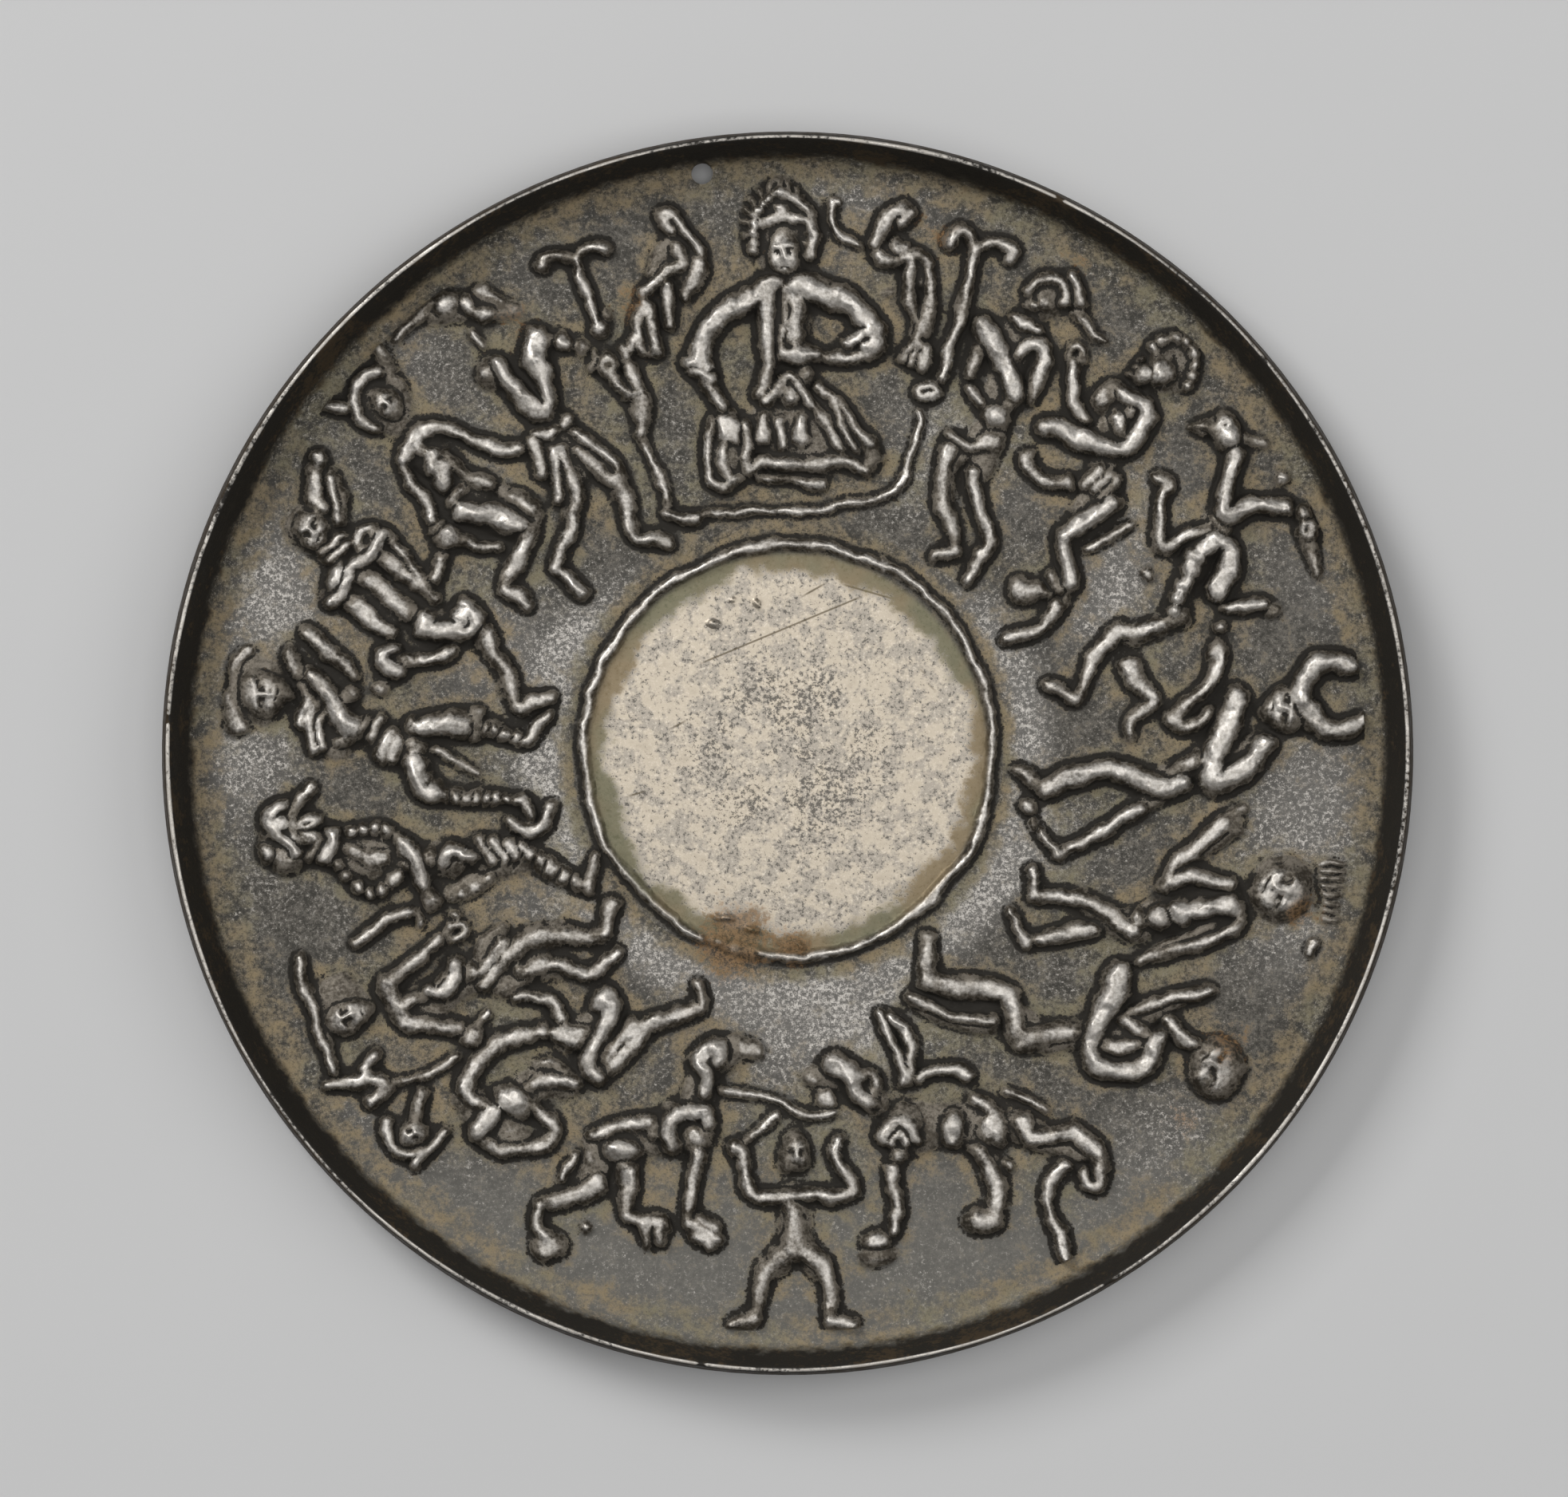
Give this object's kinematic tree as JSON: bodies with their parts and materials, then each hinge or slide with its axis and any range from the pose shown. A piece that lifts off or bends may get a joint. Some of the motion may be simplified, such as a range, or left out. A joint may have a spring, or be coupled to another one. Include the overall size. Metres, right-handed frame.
{
  "type": "bronze mirror",
  "caption": "Ancient round cast bronze mirror: raised rim, plain convex disc in a raised ring, and a frieze of figures in low relief.",
  "frame": {"origin": "centre of the flat back, which lies on the surface", "axes": "+Z out of the relief side, +Y to the top of the mirror, where the ruler sits and the hanging hole is, +X to the right"},
  "size_m": [0.1906, 0.1894, 0.011],
  "materials": {
    "bronze": "old high-tin bronze: silvery where it is worn, dark grey patina on the field, black in the creases, ochre dirt"
  },
  "bodies": {
    "root": {"mirror": "bronze"}
  },
  "joints": []
}
